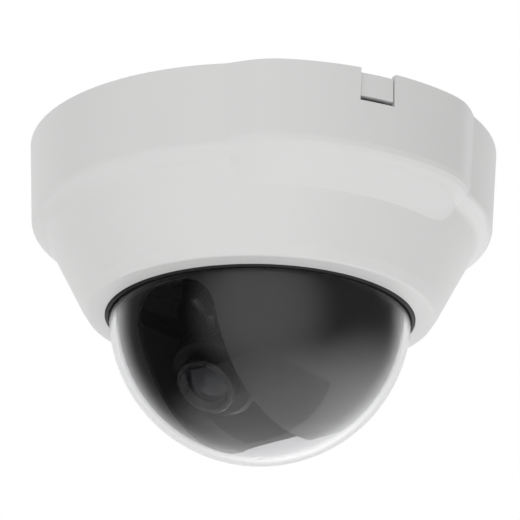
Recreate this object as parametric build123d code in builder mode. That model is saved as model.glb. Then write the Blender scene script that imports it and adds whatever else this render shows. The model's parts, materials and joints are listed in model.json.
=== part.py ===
from build123d import *
import os
from math import cos, sin, radians

# ------------------------------------------------------------------
# Ceiling dome camera. Origin: centre of the ceiling (mounting) face.
# +Z points up into the ceiling, the camera hangs below it, and -Y is
# the way the lens looks at pan zero. Millimetres throughout.
# ------------------------------------------------------------------

# cover
cover_top_z = -0.4            # upper edge, just clear of the ceiling
cover_wall_r = 72.0           # outer radius at the ceiling
cover_edge_r = 70.8           # outer radius at the bottom of the straight wall
cover_edge_z = -26.2
crease_r = 63.2               # where the shoulder turns into the cone
crease_z = -35.0
cone_mid_r = 55.0
cone_mid_z = -50.8
lip_corner_r = 53.0           # outer corner at the bottom of the cone
lip_corner_z = -53.9
opening_r = 47.5              # opening for the bubble
opening_z = -54.7
lip_inner_z = -52.9           # inside face of the lip that carries the gasket

# swelling of the wall over the release latch
lobe_angle = -24.5            # direction of the latch, degrees from +X
lobe_r = 75.7
lobe_edge_r = 74.6
lobe_half_angle = 25.2
window_width = 11.5
window_bottom_z = -10.6

# bubble and liner, both centred on the tilt axis
tilt_z = -53.5
bubble_r = 46.2
bubble_wall = 2.0
flange_r = 51.2
flange_top_z = -50.4
flange_bottom_z = -52.4
liner_r = 43.4
liner_wall = 1.2
slot_half_width = 14.6
slot_top_z = -55.8
slot_corner_r = 10.0
slot_past_pole = 8.0
liner_cut_angle = 24.5        # direction of the flat cut, degrees behind straight down
liner_cut_distance = 39.45    # from the tilt axis to the cut

# base, board and platform
base_r = 69.0
base_thickness = 2.5
cable_hole_r = 12.5
mount_hole_r = 2.2
mount_pcd = 100.0
box_spacing = 83.5            # hole spacing of a two-screw ceiling box
board_r = 38.0
board_top_z = -9.0
board_thickness = 1.6
post_r = 33.5                 # radius of the board posts
leg_radius = 60.0             # radius of the platform legs
platform_top_z = -20.0
platform_thickness = 2.0
turntable_top_z = -22.4
turntable_thickness = 2.0
turntable_r = 43.4
hub_r = 9.9

# camera head
rest_tilt = 50.0              # degrees below the horizon at rest
yoke_inner_x = 23.0
yoke_thickness = 2.5
pin_r = 2.5
focus_ring_r = 14.0
zoom_ring_r = 12.4
bezel_r = 9.3
lens_front_t = 39.5           # distance of the lens front from the tilt axis
focus_lock_angle = 70.0
zoom_lock_angle = 105.0

# latch
latch_pin_r = 66.0            # distance of the latch pin from the centre
latch_pin_z = -14.0

latch_plane = Plane(origin=(0, 0, 0), x_dir=(cos(radians(lobe_angle)), sin(radians(lobe_angle)), 0), z_dir=(0, 0, 1))
latch_side = Plane(origin=(0, 0, 0), x_dir=(cos(radians(lobe_angle)), sin(radians(lobe_angle)), 0), z_dir=(sin(radians(lobe_angle)), -cos(radians(lobe_angle)), 0))
optical = Plane(origin=(0, 0, tilt_z), x_dir=(1, 0, 0), z_dir=(0, -cos(radians(rest_tilt)), -sin(radians(rest_tilt))))

# ------------------------------------------------------------------
# base plate: disc with rim, posts, legs and latch ears
# ------------------------------------------------------------------
with BuildPart() as base_plate:
    with BuildSketch(Plane.XY):
        Circle(base_r)
    extrude(amount=-base_thickness)
    # stiffening rim
    with BuildSketch(Plane.XY.offset(-base_thickness)):
        Circle(base_r)
        Circle(base_r - 2.2, mode=Mode.SUBTRACT)
    extrude(amount=-4.2)
    # raised collar round the cable hole
    with BuildSketch(Plane.XY.offset(-base_thickness)):
        Circle(cable_hole_r + 2.0)
    extrude(amount=-2.5)
    # board posts
    with BuildSketch(Plane.XY.offset(-base_thickness)):
        with PolarLocations(post_r, 4, start_angle=45):
            Circle(3.0)
    extrude(amount=board_top_z + base_thickness)
    # platform legs with a foot flare
    with BuildSketch(Plane.XY.offset(-base_thickness)):
        with PolarLocations(leg_radius, 3, start_angle=lobe_angle + 60):
            Circle(3.8)
    extrude(amount=platform_top_z + base_thickness)
    with BuildSketch(Plane.XY.offset(-base_thickness)):
        with PolarLocations(leg_radius, 3, start_angle=lobe_angle + 60):
            Rectangle(13.0, 1.8)
            Rectangle(1.8, 13.0)
    extrude(amount=-9.0)
    # stiffening ribs from the collar to the rim
    with BuildSketch(Plane.XY.offset(-base_thickness)):
        with PolarLocations(54.0, 12, start_angle=lobe_angle + 15):
            Rectangle(24.0, 1.6)
    extrude(amount=-2.0)
    # room for the latch
    with BuildSketch(latch_plane):
        with Locations((68.0, 0)):
            Rectangle(8.4, 14.0)
    extrude(amount=-8.0, mode=Mode.SUBTRACT)
    # latch ears
    with BuildSketch(latch_plane.offset(-0.4)):
        with Locations((65.5, 8.3), (65.5, -8.3)):
            Rectangle(6.0, 2.2)
    extrude(amount=-16.6)
    with BuildSketch(latch_side.offset(-12)):
        with Locations((latch_pin_r, latch_pin_z)):
            Circle(1.05)
    extrude(amount=24, mode=Mode.SUBTRACT)
    # cable hole
    with BuildSketch(Plane.XY):
        Circle(cable_hole_r)
    extrude(amount=-8.0, mode=Mode.SUBTRACT)
    # mounting holes: three on a circle, two for a ceiling box
    with BuildSketch(Plane.XY):
        with PolarLocations(mount_pcd / 2, 3, start_angle=90):
            Circle(mount_hole_r)
        with Locations((-box_spacing / 2, 0), (box_spacing / 2, 0)):
            Circle(mount_hole_r)
    extrude(amount=-8.0, mode=Mode.SUBTRACT)
    # screw holes in posts and legs
    with BuildSketch(Plane.XY.offset(board_top_z)):
        with PolarLocations(post_r, 4, start_angle=45):
            Circle(1.25)
    extrude(amount=5.5, mode=Mode.SUBTRACT)
    with BuildSketch(Plane.XY.offset(platform_top_z)):
        with PolarLocations(leg_radius, 3, start_angle=lobe_angle + 60):
            Circle(1.3)
    extrude(amount=10.0, mode=Mode.SUBTRACT)
base_plate.part.label = "base_plate"

# ------------------------------------------------------------------
# main circuit board and what it carries
# ------------------------------------------------------------------
board_low_z = board_top_z - board_thickness
with BuildPart() as main_board:
    with BuildSketch(Plane.XY.offset(board_top_z)):
        Circle(board_r)
        Circle(11.0, mode=Mode.SUBTRACT)
        with PolarLocations(post_r, 4, start_angle=45):
            Circle(1.4, mode=Mode.SUBTRACT)
        with Locations((0, board_r)):
            Rectangle(10, 5, mode=Mode.SUBTRACT)
    extrude(amount=-board_thickness)
main_board.part.label = "main_board"

with BuildPart() as board_screws:
    with BuildSketch(Plane.XY.offset(board_low_z)):
        with PolarLocations(post_r, 4, start_angle=45):
            Circle(2.4)
    extrude(amount=-1.5)
    with BuildSketch(Plane.XY.offset(board_low_z)):
        with PolarLocations(post_r, 4, start_angle=45):
            Circle(1.15)
    extrude(amount=6.0)
    with BuildSketch(Plane.XY.offset(board_low_z - 1.5)):
        with PolarLocations(post_r, 4, start_angle=45):
            Rectangle(2.2, 0.6)
            Rectangle(0.6, 2.2)
    extrude(amount=0.8, mode=Mode.SUBTRACT)
board_screws.part.label = "board_screws"

with BuildPart() as image_processor_chip:
    with BuildSketch(Plane.XY.offset(board_low_z)):
        with Locations((20.0, 8.0)):
            Rectangle(14, 14)
    extrude(amount=-1.6)
    chamfer(image_processor_chip.edges().group_by(Axis.Z)[0], length=0.3)
image_processor_chip.part.label = "image_processor_chip"

with BuildPart() as memory_chips:
    with BuildSketch(Plane.XY.offset(board_low_z)):
        with Locations((21.0, -8.0), (21.0, -17.0)):
            Rectangle(12, 6.5)
    extrude(amount=-1.2)
memory_chips.part.label = "memory_chips"

with BuildPart() as smoothing_capacitors:
    with BuildSketch(Plane.XY.offset(board_low_z)):
        with Locations((-22.0, 9.0), (-30.0, 7.0), (-15.5, 15.5)):
            Circle(3.2)
    extrude(amount=-6.4)
    fillet(smoothing_capacitors.edges().group_by(Axis.Z)[0], radius=0.5)
smoothing_capacitors.part.label = "smoothing_capacitors"

with BuildPart() as power_coil:
    with BuildSketch(Plane.XY.offset(board_low_z)):
        with Locations((-11.0, -24.0)):
            RectangleRounded(9, 9, 1.5)
    extrude(amount=-4.4)
power_coil.part.label = "power_coil"

with BuildPart() as power_terminal:
    with BuildSketch(Plane.XY.offset(board_low_z)):
        with Locations((0, 28.0)):
            Rectangle(11.0, 8.0)
    extrude(amount=-7.0)
    # wire entries
    with BuildSketch(Plane.XZ.offset(-32.0)):
        with Locations((-2.6, board_low_z - 3.6), (2.6, board_low_z - 3.6)):
            Rectangle(3.4, 3.6)
    extrude(amount=5.0, mode=Mode.SUBTRACT)
    # screw wells
    with BuildSketch(Plane.XY.offset(board_low_z - 7.0)):
        with Locations((-2.6, 26.4), (2.6, 26.4)):
            Circle(1.7)
    extrude(amount=1.6, mode=Mode.SUBTRACT)
power_terminal.part.label = "power_terminal"

with BuildPart() as terminal_screws:
    with BuildSketch(Plane.XY.offset(board_low_z - 5.4)):
        with Locations((-2.6, 26.4), (2.6, 26.4)):
            Circle(1.5)
    extrude(amount=-1.0)
    with BuildSketch(Plane.XY.offset(board_low_z - 6.4)):
        with Locations((-2.6, 26.4), (2.6, 26.4)):
            Rectangle(2.6, 0.5)
    extrude(amount=0.5, mode=Mode.SUBTRACT)
terminal_screws.part.label = "terminal_screws"

with BuildPart() as video_socket:
    with BuildSketch(Plane.XY.offset(board_low_z)):
        with Locations((-29.0, -10.0)):
            Rectangle(10.0, 11.0)
    extrude(amount=-7.0)
    with BuildSketch(Plane.YZ.offset(-34.0)):
        with Locations((-10.0, board_low_z - 3.6)):
            Circle(2.6)
    extrude(amount=7.0, mode=Mode.SUBTRACT)
video_socket.part.label = "video_socket"

with BuildPart() as ribbon_socket:
    with BuildSketch(Plane.XY.offset(board_low_z)):
        with Locations((4.0, -17.5)):
            Rectangle(15.0, 5.0)
    extrude(amount=-3.0)
    with BuildSketch(Plane.XY.offset(board_low_z - 3.0)):
        with Locations((4.0, -17.5)):
            Rectangle(12.0, 1.0)
    extrude(amount=2.2, mode=Mode.SUBTRACT)
ribbon_socket.part.label = "ribbon_socket"

# ------------------------------------------------------------------
# platform that carries the turning camera head
# ------------------------------------------------------------------
platform_low_z = platform_top_z - platform_thickness
with BuildPart() as camera_platform:
    with BuildSketch(Plane.XY.offset(platform_top_z)):
        Circle(30.0)
        with PolarLocations(43.0, 3, start_angle=lobe_angle + 60):
            Rectangle(34.0, 11.0)
        with PolarLocations(leg_radius, 3, start_angle=lobe_angle + 60):
            Circle(5.5)
    extrude(amount=-platform_thickness)
    # stiffening ring round the hub hole
    with BuildSketch(Plane.XY.offset(platform_top_z)):
        Circle(21.0)
        Circle(18.8, mode=Mode.SUBTRACT)
    extrude(amount=1.2)
    with BuildSketch(Plane.XY.offset(platform_top_z + 2.0)):
        Circle(hub_r + 0.1)
        with PolarLocations(leg_radius, 3, start_angle=lobe_angle + 60):
            Circle(1.7)
    extrude(amount=-6.0, mode=Mode.SUBTRACT)
camera_platform.part.label = "camera_platform"

with BuildPart() as platform_screws:
    with BuildSketch(Plane.XY.offset(platform_low_z)):
        with PolarLocations(leg_radius, 3, start_angle=lobe_angle + 60):
            Circle(2.9)
    extrude(amount=-1.9)
    with BuildSketch(Plane.XY.offset(platform_low_z)):
        with PolarLocations(leg_radius, 3, start_angle=lobe_angle + 60):
            Circle(1.2)
    extrude(amount=9.5)
    with BuildSketch(Plane.XY.offset(platform_low_z - 1.9)):
        with PolarLocations(leg_radius, 3, start_angle=lobe_angle + 60):
            Rectangle(3.0, 0.7)
            Rectangle(0.7, 3.0)
    extrude(amount=1.0, mode=Mode.SUBTRACT)
platform_screws.part.label = "platform_screws"

# ------------------------------------------------------------------
# release latch and its pin
# ------------------------------------------------------------------
with BuildPart() as latch_pin:
    with BuildSketch(latch_side.offset(-9.4)):
        with Locations((latch_pin_r, latch_pin_z)):
            Circle(1.0)
    extrude(amount=18.8)
latch_pin.part.label = "latch_pin"

with BuildPart() as release_latch:
    # barrel round the pin
    with BuildSketch(latch_side.offset(-6.6)):
        with Locations((latch_pin_r, latch_pin_z)):
            Circle(2.3)
    extrude(amount=13.2)
    # stem
    with BuildSketch(latch_side.offset(-5.0)):
        with BuildLine():
            Polyline((66.2, -13.2), (66.6, -1.5), (68.6, -1.5), (68.2, -13.2), close=True)
        make_face()
    extrude(amount=10.0)
    # finger pad that fills the window, set back a little from the wall
    with BuildSketch(latch_plane.offset(-1.6)):
        with BuildLine():
            Line((68.0, -5.4), (74.6, -5.4))
            ThreePointArc((74.6, -5.4), (74.8, 0), (74.6, 5.4))
            Polyline((74.6, 5.4), (68.0, 5.4), (68.0, -5.4))
        make_face()
    extrude(amount=-7.4)
    # hollow back of the pad
    with BuildSketch(latch_plane.offset(-3.0)):
        with Locations((71.0, 0)):
            Rectangle(4.0, 8.4)
    extrude(amount=-7.0, mode=Mode.SUBTRACT)
    with BuildSketch(latch_side.offset(-8)):
        with Locations((latch_pin_r, latch_pin_z)):
            Circle(1.08)
    extrude(amount=16, mode=Mode.SUBTRACT)
release_latch.part.label = "release_latch"

# ------------------------------------------------------------------
# cover: shell of revolution with a swelling over the latch
# ------------------------------------------------------------------
# rows: height, radius over the latch, radius of the plain wall
lobe_rows = ((cover_top_z, lobe_r, cover_wall_r), (-23.6, 74.72, 70.9), (-25.2, 74.3, 70.5), (-26.5, 73.35, 69.6), (-27.6, 72.1, 68.0),
             (-28.9, 70.8, 65.9), (-36.0, 62.3, 62.4))
lobe_room_rows = ((1.0, 73.4, 69.75), (-25.1, 72.3, 68.5), (-27.9, 68.7, 64.2), (-33.4, 61.5, 61.3))
# share of the swelling at each angle from the middle of the latch
swell = ((22.0, 1.0), (24.5, 0.96), (27.0, 0.86), (29.5, 0.67), (32.0, 0.44), (34.5, 0.21), (37.5, 0.0))

with BuildPart() as lobe_outer:
    for row_z, row_r, row_wall in lobe_rows:
        inner = row_wall - 0.5
        side = [((inner + (row_r - inner) * share) * cos(radians(turn)), (inner + (row_r - inner) * share) * sin(radians(turn))) for turn, share in swell]
        front = [(row_r * cos(radians(turn)), row_r * sin(radians(turn))) for turn in (-18, -12, -6, 0, 6, 12, 18)]
        with BuildSketch(latch_plane.offset(row_z)):
            with BuildLine():
                Spline([(x, -y) for x, y in reversed(side)] + front + side)
                Polyline(side[-1], (38, 26), (38, -26), (side[-1][0], -side[-1][1]))
            make_face()
    loft(ruled=True)

with BuildPart() as lobe_inner:
    for row_z, row_r, row_wall in lobe_room_rows:
        inner = row_wall - 0.6
        side = [((inner + (row_r - inner) * share) * cos(radians(turn - 1.0)), (inner + (row_r - inner) * share) * sin(radians(turn - 1.0))) for turn, share in swell]
        front = [(row_r * cos(radians(turn)), row_r * sin(radians(turn))) for turn in (-18, -12, -6, 0, 6, 12, 18)]
        with BuildSketch(latch_plane.offset(row_z)):
            with BuildLine():
                Spline([(x, -y) for x, y in reversed(side)] + front + side)
                Polyline(side[-1], (38, 24), (38, -24), (side[-1][0], -side[-1][1]))
            make_face()
    loft(ruled=True)

with BuildPart() as dome_cover:
    with BuildSketch(Plane.XZ):
        with BuildLine():
            Polyline((0, cover_top_z), (cover_wall_r, cover_top_z), (cover_edge_r, cover_edge_z), (66.1, -28.9),
                     (crease_r, crease_z), (cone_mid_r, cone_mid_z), (lip_corner_r, lip_corner_z), (opening_r, opening_z), (0, opening_z), close=True)
        make_face()
        fillet(vertices().sort_by_distance((cover_edge_r, cover_edge_z, 0))[0], radius=2.6)
        fillet(vertices().sort_by_distance((66.1, -28.9, 0))[0], radius=4.0)
        fillet(vertices().sort_by_distance((crease_r, crease_z, 0))[0], radius=8.0)
        fillet(vertices().sort_by_distance((lip_corner_r, lip_corner_z, 0))[0], radius=1.3)
    revolve(axis=Axis.Z)
    add(lobe_outer.part)
    with BuildSketch(Plane.XZ):
        with BuildLine():
            Polyline((0, 1), (69.75, 1), (68.5, -25.3), (64.2, -27.9), (61.0, -34.2), (53.0, -50.0), (51.4, lip_inner_z),
                     (opening_r, lip_inner_z), (opening_r, -58.5), (0, -58.5), close=True)
        make_face()
    revolve(axis=Axis.Z, mode=Mode.SUBTRACT)
    add(lobe_inner.part, mode=Mode.SUBTRACT)
    # bosses for the retainer screws
    with BuildSketch(Plane.XY.offset(-42.5)):
        with PolarLocations(54.5, 4, start_angle=20):
            Circle(2.2)
    extrude(amount=-5.0)
    with BuildSketch(Plane.XY.offset(-42.5)):
        with PolarLocations(54.5, 4, start_angle=20):
            Circle(1.05)
    extrude(amount=-4.2, mode=Mode.SUBTRACT)
    # latch window
    with BuildSketch(latch_plane.offset(1.0)):
        with Locations((75.0, 0)):
            Rectangle(8.0, window_width)
    extrude(amount=window_bottom_z - 1.0, mode=Mode.SUBTRACT)
dome_cover.part.label = "dome_cover"

with BuildPart() as dome_gasket:
    with BuildSketch(Plane.XZ):
        with BuildLine():
            Polyline((bubble_r + 0.15, flange_bottom_z), (50.7, flange_bottom_z), (50.7, lip_inner_z), (opening_r - 0.1, lip_inner_z),
                     (opening_r - 0.1, -54.8), (47.1, -55.3), (bubble_r + 0.15, -55.3), close=True)
        make_face()
    revolve(axis=Axis.Z)
dome_gasket.part.label = "dome_gasket"

with BuildPart() as dome_bubble:
    inner = bubble_r - bubble_wall
    with BuildSketch(Plane.XZ):
        with BuildLine():
            CenterArc((0, tilt_z), bubble_r, -90, 90)
            Polyline((bubble_r, tilt_z), (bubble_r, flange_bottom_z), (flange_r, flange_bottom_z), (flange_r, flange_top_z),
                     (inner, flange_top_z), (inner, tilt_z))
            CenterArc((0, tilt_z), inner, -90, 90)
            Line((0, tilt_z - inner), (0, tilt_z - bubble_r))
        make_face()
    revolve(axis=Axis.Z)
dome_bubble.part.label = "dome_bubble"

with BuildPart() as bubble_retainer:
    with BuildSketch(Plane.XY.offset(-42.5)):
        Circle(56.2)
        Circle(47.6, mode=Mode.SUBTRACT)
    extrude(amount=1.6)
    with BuildSketch(Plane.XY.offset(-42.5)):
        Circle(50.6)
        Circle(48.6, mode=Mode.SUBTRACT)
    extrude(amount=flange_top_z + 42.5)
    with BuildSketch(Plane.XY.offset(-44.0)):
        with PolarLocations(54.5, 4, start_angle=20):
            Circle(1.2)
    extrude(amount=5.0, mode=Mode.SUBTRACT)
bubble_retainer.part.label = "bubble_retainer"

with BuildPart() as retainer_screws:
    with BuildSketch(Plane.XY.offset(-40.9)):
        with PolarLocations(54.5, 4, start_angle=20):
            Circle(1.9)
    extrude(amount=1.5)
    with BuildSketch(Plane.XY.offset(-40.9)):
        with PolarLocations(54.5, 4, start_angle=20):
            Circle(0.98)
    extrude(amount=-5.2)
    with BuildSketch(Plane.XY.offset(-39.4)):
        with PolarLocations(54.5, 4, start_angle=20):
            Rectangle(2.0, 0.5)
            Rectangle(0.5, 2.0)
    extrude(amount=-0.8, mode=Mode.SUBTRACT)
retainer_screws.part.label = "retainer_screws"

# ------------------------------------------------------------------
# pan: turntable, retaining ring, yoke, liner
# ------------------------------------------------------------------
turntable_low_z = turntable_top_z - turntable_thickness
with BuildPart() as turntable:
    with BuildSketch(Plane.XY.offset(turntable_top_z)):
        Circle(turntable_r)
        with PolarLocations(35.0, 6, start_angle=30):
            Circle(4.0, mode=Mode.SUBTRACT)
        with Locations((-box_spacing / 2, 0), (box_spacing / 2, 0)):
            Circle(4.2, mode=Mode.SUBTRACT)
        with PolarLocations(39.0, 3, start_angle=90):
            Circle(1.05, mode=Mode.SUBTRACT)
        with Locations((-17, 5.5), (17, 5.5), (-17, -5.5), (17, -5.5)):
            Circle(1.05, mode=Mode.SUBTRACT)
        with Locations((0, 24.0)):
            Circle(1.58, mode=Mode.SUBTRACT)
    extrude(amount=-turntable_thickness)
    # hub through the platform, with a groove for the retaining ring
    with BuildSketch(Plane.XY.offset(turntable_top_z)):
        Circle(hub_r)
    extrude(amount=5.0)
    with BuildSketch(Plane.XY.offset(-19.6)):
        Circle(hub_r + 1)
        Circle(hub_r - 0.8, mode=Mode.SUBTRACT)
    extrude(amount=1.3, mode=Mode.SUBTRACT)
    with BuildSketch(Plane.XY.offset(turntable_low_z)):
        Circle(6.5)
    extrude(amount=9.0, mode=Mode.SUBTRACT)
turntable.part.label = "turntable"

with BuildPart() as pan_retaining_ring:
    with BuildSketch(Plane.XY.offset(-19.6)):
        Circle(12.6)
        Circle(hub_r - 0.7, mode=Mode.SUBTRACT)
        with Locations((0, 11.0)):
            Rectangle(5.0, 6.0, mode=Mode.SUBTRACT)
    extrude(amount=1.3)
pan_retaining_ring.part.label = "pan_retaining_ring"

yoke_low_z = turntable_low_z - 1.8
with BuildPart() as yoke:
    with BuildSketch(Plane.XY.offset(turntable_low_z)):
        RectangleRounded(2 * (yoke_inner_x + yoke_thickness), 18.0, 1.0)
        Circle(6.5, mode=Mode.SUBTRACT)
        with Locations((-17, 5.5), (17, 5.5), (-17, -5.5), (17, -5.5)):
            Circle(1.2, mode=Mode.SUBTRACT)
    extrude(amount=-1.8)
    for side_x in (yoke_inner_x, -(yoke_inner_x + yoke_thickness)):
        with BuildSketch(Plane.YZ.offset(side_x)):
            with BuildLine():
                Polyline((-8.9, yoke_low_z + 0.6), (8.9, yoke_low_z + 0.6), (7.2, -40.0), (7.2, tilt_z), (-7.2, tilt_z), (-7.2, -40.0), close=True)
            make_face()
            with Locations((0, tilt_z)):
                Circle(7.2)
                Circle(pin_r + 0.08, mode=Mode.SUBTRACT)
        extrude(amount=yoke_thickness)
    # threaded hole of the tilt lock
    with BuildSketch(Plane.YZ.offset(yoke_inner_x - 1)):
        with Locations((0, -43.5)):
            Circle(1.58)
    extrude(amount=6.0, mode=Mode.SUBTRACT)
yoke.part.label = "yoke"

with BuildPart() as yoke_screws:
    with BuildSketch(Plane.XY.offset(yoke_low_z)):
        with Locations((-17, 5.5), (17, 5.5), (-17, -5.5), (17, -5.5)):
            Circle(2.0)
    extrude(amount=-1.1)
    with BuildSketch(Plane.XY.offset(yoke_low_z)):
        with Locations((-17, 5.5), (17, 5.5), (-17, -5.5), (17, -5.5)):
            Circle(0.98)
    extrude(amount=3.6)
    with BuildSketch(Plane.XY.offset(yoke_low_z - 1.1)):
        with Locations((-17, 5.5), (17, 5.5), (-17, -5.5), (17, -5.5)):
            Rectangle(2.2, 0.5)
            Rectangle(0.5, 2.2)
    extrude(amount=0.6, mode=Mode.SUBTRACT)
yoke_screws.part.label = "yoke_screws"

with BuildPart() as pan_lock_screw:
    with BuildSketch(Plane.XY.offset(-22.4)):
        with Locations((0, 24.0)):
            Circle(1.5)
    extrude(amount=-3.0)
    with BuildSketch(Plane.XY.offset(turntable_low_z - 0.4)):
        with Locations((0, 24.0)):
            Circle(4.0)
            with PolarLocations(4.15, 12):
                Circle(0.5, mode=Mode.SUBTRACT)
    extrude(amount=-3.6)
    with BuildSketch(Plane.XY.offset(turntable_low_z - 4.0)):
        with Locations((0, 24.0)):
            Rectangle(5.0, 0.9)
    extrude(amount=1.0, mode=Mode.SUBTRACT)
pan_lock_screw.part.label = "pan_lock_screw"

with BuildPart() as inner_liner:
    inner = liner_r - liner_wall
    with BuildSketch(Plane.XZ):
        with BuildLine():
            CenterArc((0, tilt_z), liner_r, -90, 90)
            Polyline((liner_r, tilt_z), (liner_r, tilt_z + 4.0), (inner, tilt_z + 4.0), (inner, tilt_z))
            CenterArc((0, tilt_z), inner, -90, 90)
            Line((0, tilt_z - inner), (0, tilt_z - liner_r))
        make_face()
    revolve(axis=Axis.Z)
    # slot the lens looks through
    with BuildSketch(Plane.XZ):
        with BuildLine():
            Polyline((-slot_half_width, slot_top_z), (slot_half_width, slot_top_z), (slot_half_width, -101), (-slot_half_width, -101), close=True)
        make_face()
        fillet(vertices().group_by(Axis.Y)[-1], radius=slot_corner_r)
    extrude(amount=60, mode=Mode.SUBTRACT)
    with BuildSketch(Plane.XY.offset(-102)):
        with BuildLine():
            Polyline((-slot_half_width, -20), (slot_half_width, -20), (slot_half_width, slot_past_pole), (-slot_half_width, slot_past_pole), close=True)
        make_face()
    extrude(amount=22, mode=Mode.SUBTRACT)
    # flat open cut that the slot runs into
    cut_y = sin(radians(liner_cut_angle))
    cut_z = -cos(radians(liner_cut_angle))
    with BuildSketch(Plane(origin=(0, liner_cut_distance * cut_y, tilt_z + liner_cut_distance * cut_z), x_dir=(1, 0, 0), z_dir=(0, cut_y, cut_z))):
        Circle(30.0)
    extrude(amount=10, mode=Mode.SUBTRACT)
    # legs up to the turntable
    with BuildSketch(Plane.XY.offset(turntable_low_z)):
        with PolarLocations(41.6, 3, start_angle=90):
            Rectangle(1.8, 8.0)
    extrude(amount=tilt_z + 2.0 - turntable_low_z)
    with BuildSketch(Plane.XY.offset(turntable_low_z)):
        with PolarLocations(39.3, 3, start_angle=90):
            Rectangle(6.0, 8.0)
    extrude(amount=-1.8)
    with BuildSketch(Plane.XY.offset(turntable_low_z + 1)):
        with PolarLocations(39.0, 3, start_angle=90):
            Circle(1.15)
    extrude(amount=-4.0, mode=Mode.SUBTRACT)
inner_liner.part.label = "inner_liner"

with BuildPart() as liner_screws:
    with BuildSketch(Plane.XY.offset(turntable_low_z - 1.8)):
        with PolarLocations(39.0, 3, start_angle=90):
            Circle(1.6)
    extrude(amount=-1.1)
    with BuildSketch(Plane.XY.offset(turntable_low_z - 1.8)):
        with PolarLocations(39.0, 3, start_angle=90):
            Circle(0.98)
    extrude(amount=3.6)
    with BuildSketch(Plane.XY.offset(turntable_low_z - 2.9)):
        with PolarLocations(39.0, 3, start_angle=90):
            Rectangle(1.8, 0.45)
            Rectangle(0.45, 1.8)
    extrude(amount=0.6, mode=Mode.SUBTRACT)
liner_screws.part.label = "liner_screws"

# ------------------------------------------------------------------
# tilt: cradle with pins, and the lock screw in the yoke
# ------------------------------------------------------------------
with BuildPart() as tilt_cradle:
    for side_x in (19.5, -22.4):
        with BuildSketch(Plane.YZ.offset(side_x)):
            with Locations((0, tilt_z)):
                Circle(13.0)
        extrude(amount=2.9)
    with BuildSketch(optical.offset(-3.0)):
        Circle(20.8)
    extrude(amount=6.0)
    with BuildSketch(optical.offset(-30.0)):
        Circle(17.35)
    extrude(amount=60.0, mode=Mode.SUBTRACT)
    for side_x in (20.3, -22.5):
        with BuildSketch(Plane.YZ.offset(side_x)):
            with Locations((0, tilt_z)):
                Circle(pin_r + 0.05)
        extrude(amount=2.2, mode=Mode.SUBTRACT)
tilt_cradle.part.label = "tilt_cradle"

with BuildPart() as tilt_pins:
    for start_x, length, head_x in ((20.3, 5.7, 25.9), (-26.0, 5.7, -27.4)):
        with BuildSketch(Plane.YZ.offset(start_x)):
            with Locations((0, tilt_z)):
                Circle(pin_r)
        extrude(amount=length)
        with BuildSketch(Plane.YZ.offset(head_x)):
            with Locations((0, tilt_z)):
                Circle(4.0)
        extrude(amount=1.5)
tilt_pins.part.label = "tilt_pins"

with BuildPart() as tilt_lock_screw:
    with BuildSketch(Plane.YZ.offset(22.8)):
        with Locations((0, -43.5)):
            Circle(1.5)
    extrude(amount=3.4)
    with BuildSketch(Plane.YZ.offset(25.9)):
        with Locations((0, -43.5)):
            Circle(3.8)
            with PolarLocations(3.95, 12):
                Circle(0.5, mode=Mode.SUBTRACT)
    extrude(amount=3.6)
    with BuildSketch(Plane.YZ.offset(28.7)):
        with Locations((0, -43.5)):
            Rectangle(5.0, 0.9)
    extrude(amount=1.0, mode=Mode.SUBTRACT)
tilt_lock_screw.part.label = "tilt_lock_screw"

# ------------------------------------------------------------------
# camera head, turning in the cradle about the optical axis
# ------------------------------------------------------------------
with BuildPart() as camera_housing:
    with BuildSketch(optical.offset(-6.0)):
        Circle(17.0)
        Circle(15.4, mode=Mode.SUBTRACT)
    extrude(amount=11.2)
    with BuildSketch(optical.offset(3.4)):
        Circle(18.6)
        Circle(15.4, mode=Mode.SUBTRACT)
    extrude(amount=1.8)
    with BuildSketch(optical.offset(5.2)):
        Circle(18.6)
    extrude(amount=2.8)
    chamfer(camera_housing.faces().sort_by(Axis(optical.origin, optical.z_dir))[-1].edges(), length=1.2)
    with BuildSketch(optical.offset(-9.0)):
        with PolarLocations(13.0, 4, start_angle=45):
            Circle(2.2)
    extrude(amount=14.6)
    with BuildSketch(optical.offset(-9.0)):
        with PolarLocations(13.0, 4, start_angle=45):
            Circle(1.1)
    extrude(amount=8.0, mode=Mode.SUBTRACT)
    with BuildSketch(optical.offset(4.0)):
        Circle(10.1)
    extrude(amount=6.0, mode=Mode.SUBTRACT)
camera_housing.part.label = "camera_housing"

with BuildPart() as housing_back:
    with BuildSketch(optical.offset(-18.4)):
        Circle(18.6)
    extrude(amount=15.0)
    with BuildSketch(optical.offset(-16.9)):
        Circle(17.1)
    extrude(amount=15.0, mode=Mode.SUBTRACT)
    with BuildSketch(optical.offset(-17.5)):
        with PolarLocations(13.0, 4, start_angle=45):
            Circle(2.3)
    extrude(amount=7.1)
    with BuildSketch(optical.offset(-19.0)):
        with PolarLocations(13.0, 4, start_angle=45):
            Circle(1.2)
        Rectangle(13.0, 3.0)
    extrude(amount=12.0, mode=Mode.SUBTRACT)
housing_back.part.label = "housing_back"

with BuildPart() as housing_screws:
    with BuildSketch(optical.offset(-19.4)):
        with PolarLocations(13.0, 4, start_angle=45):
            Circle(2.0)
    extrude(amount=1.0)
    with BuildSketch(optical.offset(-18.4)):
        with PolarLocations(13.0, 4, start_angle=45):
            Circle(1.0)
    extrude(amount=15.0)
    with BuildSketch(optical.offset(-19.4)):
        with PolarLocations(13.0, 4, start_angle=45):
            Rectangle(2.2, 0.5)
            Rectangle(0.5, 2.2)
    extrude(amount=0.5, mode=Mode.SUBTRACT)
housing_screws.part.label = "housing_screws"

with BuildPart() as sensor_board:
    with BuildSketch(optical.offset(-10.4)):
        RectangleRounded(23.0, 23.0, 1.0)
        with PolarLocations(13.0, 4, start_angle=45):
            Circle(1.2, mode=Mode.SUBTRACT)
    extrude(amount=1.4)
sensor_board.part.label = "sensor_board"

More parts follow.
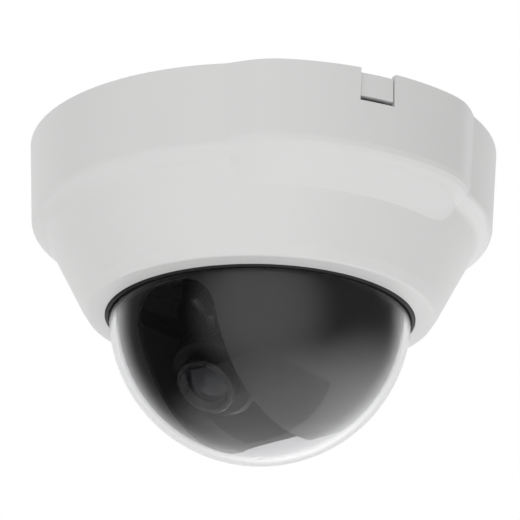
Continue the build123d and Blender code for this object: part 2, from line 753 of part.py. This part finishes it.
with BuildPart() as image_sensor:
    with BuildSketch(optical.offset(-9.0)):
        Rectangle(12.0, 10.5)
    extrude(amount=1.8)
    with BuildSketch(optical.offset(-7.6)):
        Rectangle(7.0, 5.4)
    extrude(amount=1.0, mode=Mode.SUBTRACT)
image_sensor.part.label = "image_sensor"

with BuildPart() as sensor_socket:
    with BuildSketch(optical.offset(-13.2)):
        Rectangle(11.0, 4.0)
        Rectangle(9.0, 1.2, mode=Mode.SUBTRACT)
    extrude(amount=2.8)
sensor_socket.part.label = "sensor_socket"

with BuildPart() as lens_mount:
    with BuildSketch(optical.offset(2.6)):
        Circle(10.0)
    extrude(amount=8.4)
    with BuildSketch(optical.offset(8.0)):
        Circle(12.4)
    extrude(amount=1.6)
    with BuildSketch(optical.offset(0)):
        Circle(8.1)
    extrude(amount=15.0, mode=Mode.SUBTRACT)
lens_mount.part.label = "lens_mount"

with BuildPart() as lens_barrel:
    with BuildSketch(optical.offset(4.0)):
        Circle(8.0)
    extrude(amount=31.4)
    with BuildSketch(optical.offset(11.0)):
        Circle(11.6)
    extrude(amount=1.5)
    with BuildSketch(optical.offset(20.4)):
        Circle(11.2)
    extrude(amount=2.2)
    with BuildSketch(optical.offset(0)):
        Circle(6.4)
    extrude(amount=40.0, mode=Mode.SUBTRACT)
lens_barrel.part.label = "lens_barrel"

with BuildPart() as lens_bezel:
    with BuildSketch(optical.offset(35.4)):
        Circle(bezel_r)
    extrude(amount=lens_front_t - 35.4)
    chamfer(lens_bezel.faces().sort_by(Axis(optical.origin, optical.z_dir))[-1].edges(), length=0.5)
    with BuildSketch(optical.offset(35.4)):
        Circle(6.5)
    extrude(amount=5.0, mode=Mode.SUBTRACT)
    # flared front
    with BuildSketch(optical.offset(37.9)):
        Circle(6.6)
    with BuildSketch(optical.offset(39.6)):
        Circle(7.9)
    loft(mode=Mode.SUBTRACT)
lens_bezel.part.label = "lens_bezel"

with BuildPart() as front_glass:
    with BuildSketch(optical.offset(35.4)):
        Circle(6.4)
    extrude(amount=4.0)
    # domed front surface
    with Locations(optical.origin + optical.z_dir * 22.97):
        Sphere(15.33, mode=Mode.INTERSECT)
front_glass.part.label = "front_glass"

with BuildPart() as rear_glass:
    with BuildSketch(optical.offset(3.6)):
        Circle(6.3)
    extrude(amount=4.0)
    # domed rear surface
    with Locations(optical.origin + optical.z_dir * 24.945):
        Sphere(20.345, mode=Mode.INTERSECT)
rear_glass.part.label = "rear_glass"

lock_focus_dir = cos(radians(focus_lock_angle)) * optical.x_dir + sin(radians(focus_lock_angle)) * optical.y_dir
lock_zoom_dir = cos(radians(zoom_lock_angle)) * optical.x_dir + sin(radians(zoom_lock_angle)) * optical.y_dir
focus_lock_plane = Plane(origin=optical.origin + optical.z_dir * 27.0, x_dir=optical.z_dir, z_dir=lock_focus_dir)
zoom_lock_plane = Plane(origin=optical.origin + optical.z_dir * 16.5, x_dir=optical.z_dir, z_dir=lock_zoom_dir)

with BuildPart() as zoom_ring:
    with BuildSketch(optical.offset(12.9)):
        Circle(zoom_ring_r)
        with PolarLocations(zoom_ring_r + 0.2, 30):
            Circle(0.55, mode=Mode.SUBTRACT)
    extrude(amount=7.1)
    with BuildSketch(optical.offset(14.6)):
        Circle(zoom_ring_r + 1)
        Circle(zoom_ring_r - 0.5, mode=Mode.SUBTRACT)
    extrude(amount=3.8, mode=Mode.SUBTRACT)
    with BuildSketch(zoom_lock_plane.offset(9.5)):
        Circle(2.6)
    extrude(amount=3.6)
    with BuildSketch(optical.offset(10)):
        Circle(8.35)
    extrude(amount=12.0, mode=Mode.SUBTRACT)
    with BuildSketch(zoom_lock_plane.offset(5)):
        Circle(1.18)
    extrude(amount=12.0, mode=Mode.SUBTRACT)
zoom_ring.part.label = "zoom_ring"

with BuildPart() as zoom_lock_screw:
    with BuildSketch(zoom_lock_plane.offset(8.75)):
        Circle(1.1)
    extrude(amount=6.0)
    with BuildSketch(zoom_lock_plane.offset(13.5)):
        Circle(2.0)
    extrude(amount=6.0)
    with BuildSketch(zoom_lock_plane.offset(13.5)):
        with PolarLocations(2.1, 10):
            Circle(0.3)
    extrude(amount=6.0, mode=Mode.SUBTRACT)
zoom_lock_screw.part.label = "zoom_lock_screw"

with BuildPart() as focus_ring:
    with BuildSketch(optical.offset(23.0)):
        Circle(focus_ring_r)
    extrude(amount=11.9)
    chamfer(focus_ring.faces().sort_by(Axis(optical.origin, optical.z_dir))[-1].edges(), length=1.4)
    # knurled grip
    with BuildSketch(optical.offset(29.6)):
        with PolarLocations(focus_ring_r + 0.25, 40):
            Circle(0.6)
    extrude(amount=6.0, mode=Mode.SUBTRACT)
    with BuildSketch(optical.offset(22)):
        Circle(8.35)
    extrude(amount=14.0, mode=Mode.SUBTRACT)
    with BuildSketch(focus_lock_plane.offset(5)):
        Circle(1.18)
    extrude(amount=14.0, mode=Mode.SUBTRACT)
focus_ring.part.label = "focus_ring"

with BuildPart() as focus_lock_screw:
    with BuildSketch(focus_lock_plane.offset(8.75)):
        Circle(1.1)
    extrude(amount=6.5)
    with BuildSketch(focus_lock_plane.offset(14.4)):
        Circle(2.0)
    extrude(amount=4.2)
    with BuildSketch(focus_lock_plane.offset(14.4)):
        with PolarLocations(2.1, 10):
            Circle(0.3)
    extrude(amount=4.2, mode=Mode.SUBTRACT)
focus_lock_screw.part.label = "focus_lock_screw"

# ------------------------------------------------------------------
# one STEP file per piece
# ------------------------------------------------------------------
os.makedirs("parts", exist_ok=True)
export_step(base_plate.part, "parts/base_plate.step")
export_step(main_board.part, "parts/main_board.step")
export_step(board_screws.part, "parts/board_screws.step")
export_step(image_processor_chip.part, "parts/image_processor_chip.step")
export_step(memory_chips.part, "parts/memory_chips.step")
export_step(smoothing_capacitors.part, "parts/smoothing_capacitors.step")
export_step(power_coil.part, "parts/power_coil.step")
export_step(power_terminal.part, "parts/power_terminal.step")
export_step(terminal_screws.part, "parts/terminal_screws.step")
export_step(video_socket.part, "parts/video_socket.step")
export_step(ribbon_socket.part, "parts/ribbon_socket.step")
export_step(camera_platform.part, "parts/camera_platform.step")
export_step(platform_screws.part, "parts/platform_screws.step")
export_step(latch_pin.part, "parts/latch_pin.step")
export_step(release_latch.part, "parts/release_latch.step")
export_step(dome_cover.part, "parts/dome_cover.step")
export_step(dome_gasket.part, "parts/dome_gasket.step")
export_step(dome_bubble.part, "parts/dome_bubble.step")
export_step(bubble_retainer.part, "parts/bubble_retainer.step")
export_step(retainer_screws.part, "parts/retainer_screws.step")
export_step(turntable.part, "parts/turntable.step")
export_step(pan_retaining_ring.part, "parts/pan_retaining_ring.step")
export_step(yoke.part, "parts/yoke.step")
export_step(yoke_screws.part, "parts/yoke_screws.step")
export_step(pan_lock_screw.part, "parts/pan_lock_screw.step")
export_step(inner_liner.part, "parts/inner_liner.step")
export_step(liner_screws.part, "parts/liner_screws.step")
export_step(tilt_cradle.part, "parts/tilt_cradle.step")
export_step(tilt_pins.part, "parts/tilt_pins.step")
export_step(tilt_lock_screw.part, "parts/tilt_lock_screw.step")
export_step(camera_housing.part, "parts/camera_housing.step")
export_step(housing_back.part, "parts/housing_back.step")
export_step(housing_screws.part, "parts/housing_screws.step")
export_step(sensor_board.part, "parts/sensor_board.step")
export_step(image_sensor.part, "parts/image_sensor.step")
export_step(sensor_socket.part, "parts/sensor_socket.step")
export_step(lens_mount.part, "parts/lens_mount.step")
export_step(lens_barrel.part, "parts/lens_barrel.step")
export_step(lens_bezel.part, "parts/lens_bezel.step")
export_step(front_glass.part, "parts/front_glass.step")
export_step(rear_glass.part, "parts/rear_glass.step")
export_step(zoom_ring.part, "parts/zoom_ring.step")
export_step(zoom_lock_screw.part, "parts/zoom_lock_screw.step")
export_step(focus_ring.part, "parts/focus_ring.step")
export_step(focus_lock_screw.part, "parts/focus_lock_screw.step")
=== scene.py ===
import json
import math
import bpy
from mathutils import Vector, Matrix

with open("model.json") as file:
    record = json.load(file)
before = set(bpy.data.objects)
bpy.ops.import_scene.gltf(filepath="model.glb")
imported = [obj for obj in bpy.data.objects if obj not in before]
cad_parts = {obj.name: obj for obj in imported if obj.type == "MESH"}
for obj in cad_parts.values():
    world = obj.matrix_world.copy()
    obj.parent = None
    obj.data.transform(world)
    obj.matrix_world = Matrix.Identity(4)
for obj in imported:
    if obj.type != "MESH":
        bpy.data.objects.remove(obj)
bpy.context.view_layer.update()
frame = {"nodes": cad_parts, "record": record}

nodes = frame["nodes"]

# ------------------------------------------------------------------
# small helpers for node materials (object space is the row frame, metres)
# ------------------------------------------------------------------


def new_material(name):
    m = bpy.data.materials.new(name)
    m.use_nodes = True
    nt = m.node_tree
    nt.nodes.clear()
    out = nt.nodes.new("ShaderNodeOutputMaterial")
    bsdf = nt.nodes.new("ShaderNodeBsdfPrincipled")
    nt.links.new(bsdf.outputs["BSDF"], out.inputs["Surface"])
    return m, nt, bsdf


def coords(nt):
    return nt.nodes.new("ShaderNodeTexCoord").outputs["Object"]


def noise(nt, scale, detail=3.0, rough=0.5, vec=None):
    n = nt.nodes.new("ShaderNodeTexNoise")
    n.inputs["Scale"].default_value = scale
    n.inputs["Detail"].default_value = detail
    n.inputs["Roughness"].default_value = rough
    nt.links.new(vec if vec is not None else coords(nt), n.inputs["Vector"])
    return n.outputs["Fac"]


def ramp(nt, fac, stops):
    r = nt.nodes.new("ShaderNodeValToRGB")
    el = r.color_ramp.elements
    el[0].position, el[0].color = stops[0][0], (*stops[0][1], 1.0)
    el[1].position, el[1].color = stops[-1][0], (*stops[-1][1], 1.0)
    for p, c in stops[1:-1]:
        e = el.new(p)
        e.color = (*c, 1.0)
    nt.links.new(fac, r.inputs["Fac"])
    return r.outputs["Color"]


def remap(nt, fac, a, b, lo, hi):
    n = nt.nodes.new("ShaderNodeMapRange")
    n.inputs["From Min"].default_value = a
    n.inputs["From Max"].default_value = b
    n.inputs["To Min"].default_value = lo
    n.inputs["To Max"].default_value = hi
    nt.links.new(fac, n.inputs["Value"])
    return n.outputs["Result"]


def bump(nt, bsdf, height, strength, distance):
    b = nt.nodes.new("ShaderNodeBump")
    b.inputs["Strength"].default_value = strength
    b.inputs["Distance"].default_value = distance
    nt.links.new(height, b.inputs["Height"])
    nt.links.new(b.outputs["Normal"], bsdf.inputs["Normal"])


def tone(c, k):
    return tuple(min(1.0, x * k) for x in c)


def moulded(name, colour, rough=0.45, grain=2600.0, grain_h=0.00002, strength=0.25, spread=0.05, mottle=60.0, spec=0.5, coat=0.0):
    """Moulded plastic: slow colour drift, fine spark-eroded grain, roughness that drifts with it."""
    m, nt, b = new_material(name)
    slow = noise(nt, mottle, 4.0, 0.55)
    col = ramp(nt, slow, [(0.1, tone(colour, 1 - spread)), (0.9, tone(colour, 1 + spread))])
    nt.links.new(col, b.inputs["Base Color"])
    fine = noise(nt, grain, 2.0, 0.6)
    nt.links.new(remap(nt, slow, 0.1, 0.9, rough - 0.04, rough + 0.04), b.inputs["Roughness"])
    b.inputs["Specular IOR Level"].default_value = spec
    b.inputs["Coat Weight"].default_value = coat
    bump(nt, b, fine, strength, grain_h)
    return m


def metal(name, colour, rough=0.3, brush=(60.0, 60.0, 4000.0), strength=0.2, spread=0.12, metallic=1.0):
    """Turned or brushed metal: stretched noise for the tool marks, drift in tone and roughness."""
    m, nt, b = new_material(name)
    mp = nt.nodes.new("ShaderNodeMapping")
    mp.inputs["Scale"].default_value = brush
    nt.links.new(coords(nt), mp.inputs["Vector"])
    lines = noise(nt, 1.0, 3.0, 0.6, mp.outputs["Vector"])
    slow = noise(nt, 140.0, 3.0, 0.5)
    mix = nt.nodes.new("ShaderNodeMath")
    mix.operation = "MULTIPLY_ADD"
    mix.inputs[1].default_value = 0.5
    nt.links.new(lines, mix.inputs[0])
    half = nt.nodes.new("ShaderNodeMath")
    half.operation = "MULTIPLY"
    half.inputs[1].default_value = 0.5
    nt.links.new(slow, half.inputs[0])
    nt.links.new(half.outputs[0], mix.inputs[2])
    col = ramp(nt, mix.outputs[0], [(0.3, tone(colour, 1 - spread)), (0.7, tone(colour, 1 + spread))])
    nt.links.new(col, b.inputs["Base Color"])
    b.inputs["Metallic"].default_value = metallic
    nt.links.new(remap(nt, mix.outputs[0], 0.3, 0.7, rough - 0.06, rough + 0.06), b.inputs["Roughness"])
    bump(nt, b, lines, strength, 0.00001)
    return m


def circuit(name):
    """Solder mask over copper traces, with tinned pads."""
    m, nt, b = new_material(name)
    v = nt.nodes.new("ShaderNodeTexVoronoi")
    v.distance = "CHEBYCHEV"
    v.feature = "F1"
    v.inputs["Scale"].default_value = 330.0
    nt.links.new(coords(nt), v.inputs["Vector"])
    br = nt.nodes.new("ShaderNodeTexBrick")
    br.inputs["Scale"].default_value = 420.0
    br.inputs["Mortar Size"].default_value = 0.09
    br.inputs["Color1"].default_value = (0.0, 0.0, 0.0, 1.0)
    br.inputs["Color2"].default_value = (0.15, 0.15, 0.15, 1.0)
    br.inputs["Mortar"].default_value = (1.0, 1.0, 1.0, 1.0)
    nt.links.new(coords(nt), br.inputs["Vector"])
    mask = ramp(nt, br.outputs["Color"], [(0.0, (0.008, 0.075, 0.03)), (0.3, (0.010, 0.095, 0.038)), (1.0, (0.03, 0.20, 0.075))])
    pads = ramp(nt, v.outputs["Distance"], [(0.0, (1.0, 1.0, 1.0)), (0.13, (1.0, 1.0, 1.0)), (0.16, (0.0, 0.0, 0.0))])
    mx = nt.nodes.new("ShaderNodeMix")
    mx.data_type = "RGBA"
    nt.links.new(pads, mx.inputs["Factor"])
    nt.links.new(mask, mx.inputs[6])
    mx.inputs[7].default_value = (0.52, 0.50, 0.45, 1.0)
    nt.links.new(mx.outputs[2], b.inputs["Base Color"])
    nt.links.new(remap(nt, noise(nt, 300.0), 0.3, 0.7, 0.28, 0.42), b.inputs["Roughness"])
    bump(nt, b, br.outputs["Color"], 0.3, 0.00004)
    return m


def bubble_material(name):
    """Clear, lightly smoked polycarbonate, with the faint waviness of a moulded dome."""
    m, nt, b = new_material(name)
    slow = noise(nt, 26.0, 2.0, 0.4)
    col = ramp(nt, slow, [(0.1, (0.73, 0.73, 0.74)), (0.9, (0.77, 0.77, 0.78))])
    nt.links.new(col, b.inputs["Base Color"])
    b.inputs["Transmission Weight"].default_value = 1.0
    b.inputs["IOR"].default_value = 1.49
    nt.links.new(remap(nt, noise(nt, 400.0, 4.0), 0.35, 0.75, 0.006, 0.03), b.inputs["Roughness"])
    bump(nt, b, slow, 0.03, 0.0003)
    return m


def lens_material(name):
    """Front and rear elements with a cool anti-reflection coating tint, and a painted sheen that lightens the colour
    towards grazing angles.
    """
    m, nt, b = new_material(name)
    lw = nt.nodes.new("ShaderNodeLayerWeight")
    lw.inputs["Blend"].default_value = 0.35
    # base colour follows the viewing angle: the cool coating tint head-on, turning lighter grey towards grazing angles
    # as a painted sheen
    col = ramp(nt, lw.outputs["Facing"], [(0.0, (0.025, 0.030, 0.055)), (0.5, (0.045, 0.035, 0.065)), (1.0, (0.10, 0.105, 0.12))])
    nt.links.new(col, b.inputs["Base Color"])
    b.inputs["Transmission Weight"].default_value = 0.6
    b.inputs["IOR"].default_value = 1.62
    nt.links.new(remap(nt, noise(nt, 70.0), 0.3, 0.7, 0.02, 0.05), b.inputs["Roughness"])
    b.inputs["Coat Weight"].default_value = 0.0
    return m


slots = {
    "cover_white": moulded("cover_white_plastic", (0.74, 0.74, 0.735), rough=0.42, grain=2200.0, grain_h=0.00003, strength=0.3, spread=0.012, mottle=35.0),
    "base_plastic": moulded("base_plastic", (0.62, 0.62, 0.605), rough=0.5, spread=0.03, mottle=45.0),
    "gasket_rubber": moulded("gasket_rubber_matt", (0.012, 0.012, 0.012), rough=0.62, grain=1500.0, strength=0.4, spread=0.15),
    "liner_black": moulded("liner_satin", (0.100, 0.100, 0.102), rough=0.32, grain=1800.0, strength=0.2, spread=0.03, mottle=30.0),
    "black_plastic": moulded("black_nylon", (0.009, 0.009, 0.010), rough=0.42, grain=1800.0, strength=0.4, spread=0.12),
    "head_plastic": moulded("head_plastic_dark", (0.012, 0.012, 0.013), rough=0.36, grain=2400.0, strength=0.35, spread=0.1),
    "chip_plastic": moulded("chip_epoxy", (0.018, 0.018, 0.019), rough=0.55, grain=3000.0, strength=0.5, spread=0.12),
    "coil_ferrite": moulded("coil_ferrite_grey", (0.075, 0.075, 0.08), rough=0.6, grain=1600.0, strength=0.6, spread=0.15),
    "terminal_green": moulded("terminal_green_nylon", (0.03, 0.22, 0.07), rough=0.4, grain=2400.0, strength=0.3, spread=0.08),
    "socket_ivory": moulded("socket_ivory_nylon", (0.66, 0.61, 0.48), rough=0.45, grain=2600.0, strength=0.3, spread=0.04),
    "sensor_ceramic": moulded("sensor_package", (0.045, 0.042, 0.055), rough=0.22, grain=4000.0, strength=0.05, spread=0.12),
    "plated_steel": metal("zinc_plated_steel", (0.56, 0.56, 0.57), rough=0.34, brush=(900.0, 60.0, 60.0)),
    "steel_screw": metal("screw_steel", (0.60, 0.60, 0.61), rough=0.26, brush=(200.0, 200.0, 5000.0)),
    "capacitor_can": metal("capacitor_aluminium", (0.66, 0.67, 0.70), rough=0.28, brush=(200.0, 200.0, 2500.0)),
    "lens_alloy": metal("lens_satin_alloy", (0.075, 0.075, 0.078), rough=0.30, brush=(160.0, 900.0, 160.0), strength=0.06),
    "lens_black": metal("lens_black_anodised", (0.019, 0.019, 0.021), rough=0.34, brush=(120.0, 120.0, 120.0), strength=0.05, metallic=0.6),
    "circuit_board": circuit("circuit_board_mask"),
    "smoked_dome": bubble_material("smoked_polycarbonate"),
    "lens_glass": lens_material("coated_lens_glass_with_painted_sheen"),
}

# the small lock screws are blackened, so they stay quiet behind the smoked dome
black_screw = metal("blackened_steel", (0.15, 0.15, 0.155), rough=0.38, brush=(200.0, 200.0, 3000.0), strength=0.1, metallic=0.9)
blackened = ("pan_lock_screw", "tilt_lock_screw", "zoom_lock_screw", "focus_lock_screw", "tilt_pins")

by_node = {s["node"]: s["material_slot"] for s in frame["record"]["subparts"]}
for n, o in nodes.items():
    o.data.materials.clear()
    o.data.materials.append(black_screw if n in blackened else slots[by_node[n]])

# ------------------------------------------------------------------
# stage, light and camera
# ------------------------------------------------------------------
floor_mesh = bpy.data.meshes.new("floor_mesh")
half = 2.0
floor_mesh.from_pydata([(-half, -half, -2.6), (half, -half, -2.6), (half, half, -2.6), (-half, half, -2.6)], [], [(0, 1, 2, 3)])
floor = bpy.data.objects.new("floor", floor_mesh)
bpy.context.scene.collection.objects.link(floor)
fm, fnt, fb = new_material("floor_pale")
fb.inputs["Base Color"].default_value = (0.86, 0.86, 0.86, 1.0)
fb.inputs["Roughness"].default_value = 0.9
floor_mesh.materials.append(fm)
floor.visible_glossy = False

azimuth, elevation, roll = math.radians(39.0), math.radians(-20.35), math.radians(1.17)
back = Vector((math.sin(azimuth) * math.cos(elevation), -math.cos(azimuth) * math.cos(elevation), math.sin(elevation)))
forward = -back
right = forward.cross(Vector((0, 0, 1))).normalized()
up = right.cross(forward).normalized()
right_r = right * math.cos(roll) + up * math.sin(roll)
up_r = up * math.cos(roll) - right * math.sin(roll)
centre = Vector((0, 0, -0.050))
distance = 1.5
px_per_m = 3270.0
cam_data = bpy.data.cameras.new("camera")
cam_data.sensor_width = 36.0
cam_data.lens = px_per_m * distance / 520.0 * 36.0
cam_data.clip_start, cam_data.clip_end = 0.05, 60.0
camera = bpy.data.objects.new("camera", cam_data)
bpy.context.scene.collection.objects.link(camera)
eye = centre + back * distance
aim = centre + up_r * (44.72 / px_per_m) - right_r * (0.34 / px_per_m)
look = (aim - eye).normalized()
side = look.cross(up_r).normalized()
top = side.cross(look).normalized()
camera.matrix_world = Matrix((
    (side.x, top.x, -look.x, eye.x),
    (side.y, top.y, -look.y, eye.y),
    (side.z, top.z, -look.z, eye.z),
    (0, 0, 0, 1),
))
bpy.context.scene.camera = camera

# white studio: plain white where the camera sees it, softly uneven as a light source
world = bpy.data.worlds.new("studio")
bpy.context.scene.world = world
world.use_nodes = True
wn = world.node_tree
wn.nodes.clear()
w_out = wn.nodes.new("ShaderNodeOutputWorld")
w_cam = wn.nodes.new("ShaderNodeBackground")
w_cam.inputs["Color"].default_value = (1.0, 1.0, 1.0, 1.0)
w_cam.inputs["Strength"].default_value = 1.0
w_light = wn.nodes.new("ShaderNodeBackground")
w_mix = wn.nodes.new("ShaderNodeMixShader")
w_path = wn.nodes.new("ShaderNodeLightPath")
wn.links.new(w_path.outputs["Is Camera Ray"], w_mix.inputs["Fac"])
wn.links.new(w_light.outputs[0], w_mix.inputs[1])
wn.links.new(w_cam.outputs[0], w_mix.inputs[2])
wn.links.new(w_mix.outputs[0], w_out.inputs["Surface"])
w_dir = wn.nodes.new("ShaderNodeTexCoord").outputs["Generated"]


def lobe(direction, lo, hi, strength):
    """A soft patch of light round a direction: 0 where the cosine is lo, full where it is hi."""
    d = Vector(direction).normalized()
    dot = wn.nodes.new("ShaderNodeVectorMath")
    dot.operation = "DOT_PRODUCT"
    dot.inputs[1].default_value = d
    wn.links.new(w_dir, dot.inputs[0])
    mr = wn.nodes.new("ShaderNodeMapRange")
    mr.interpolation_type = "SMOOTHSTEP"
    mr.inputs["From Min"].default_value = lo
    mr.inputs["From Max"].default_value = hi
    mr.inputs["To Min"].default_value = 0.0
    mr.inputs["To Max"].default_value = strength
    wn.links.new(dot.outputs["Value"], mr.inputs["Value"])
    return mr.outputs["Result"]


def from_view(r, u, f):
    """A direction given as right, up and away from the camera, in the row frame."""
    return right * r + up * u + forward * f


patches = [
    lobe(from_view(0, 0, 1), 0.42, 0.86, 0.90),          # white backdrop
    lobe(from_view(0.34, -0.935, 0.05), 0.34, 1.0, 1.5),  # large light, low on the right
    lobe(from_view(0.0, 0.10, -1.0), 0.45, 1.0, 0.60),    # pale room behind the camera
]
total = None
for p in patches:
    if total is None:
        total = p
        continue
    add = wn.nodes.new("ShaderNodeMath")
    add.operation = "ADD"
    wn.links.new(total, add.inputs[0])
    wn.links.new(p, add.inputs[1])
    total = add.outputs[0]
base_add = wn.nodes.new("ShaderNodeMath")
base_add.operation = "ADD"
base_add.inputs[1].default_value = 0.05
wn.links.new(total, base_add.inputs[0])
wn.links.new(base_add.outputs[0], w_light.inputs["Strength"])
w_light.inputs["Color"].default_value = (1.0, 1.0, 1.0, 1.0)


def area_light(name, direction, dist, size, power):
    data = bpy.data.lights.new(name, "AREA")
    data.shape = "DISK"
    data.size = size
    data.energy = power
    ob = bpy.data.objects.new(name, data)
    bpy.context.scene.collection.objects.link(ob)
    d = Vector(direction).normalized()
    ob.location = centre + d * dist
    ob.rotation_mode = "QUATERNION"
    ob.rotation_quaternion = d.to_track_quat("Z", "Y")
    ob.visible_glossy = False
    ob.visible_transmission = False
    ob.visible_camera = False
    return ob


def sky_light(name, direction, spread, power):
    """A broad, even light from one side, like a big diffuser."""
    data = bpy.data.lights.new(name, "SUN")
    data.angle = math.radians(spread)
    data.energy = power
    ob = bpy.data.objects.new(name, data)
    bpy.context.scene.collection.objects.link(ob)
    ob.rotation_mode = "QUATERNION"
    ob.rotation_quaternion = Vector(direction).normalized().to_track_quat("Z", "Y")
    ob.visible_glossy = False
    ob.visible_transmission = False
    ob.visible_camera = False
    return ob


sky_light("soft_front", from_view(0.0, -0.35, -0.95), 150.0, 1.36)
sky_light("soft_left", from_view(-0.95, -0.15, -0.1), 120.0, 1.3)
sky_light("soft_top", (0.2, 0.3, 1.0), 120.0, 1.2)

bpy.context.scene.view_settings.view_transform = "Standard"
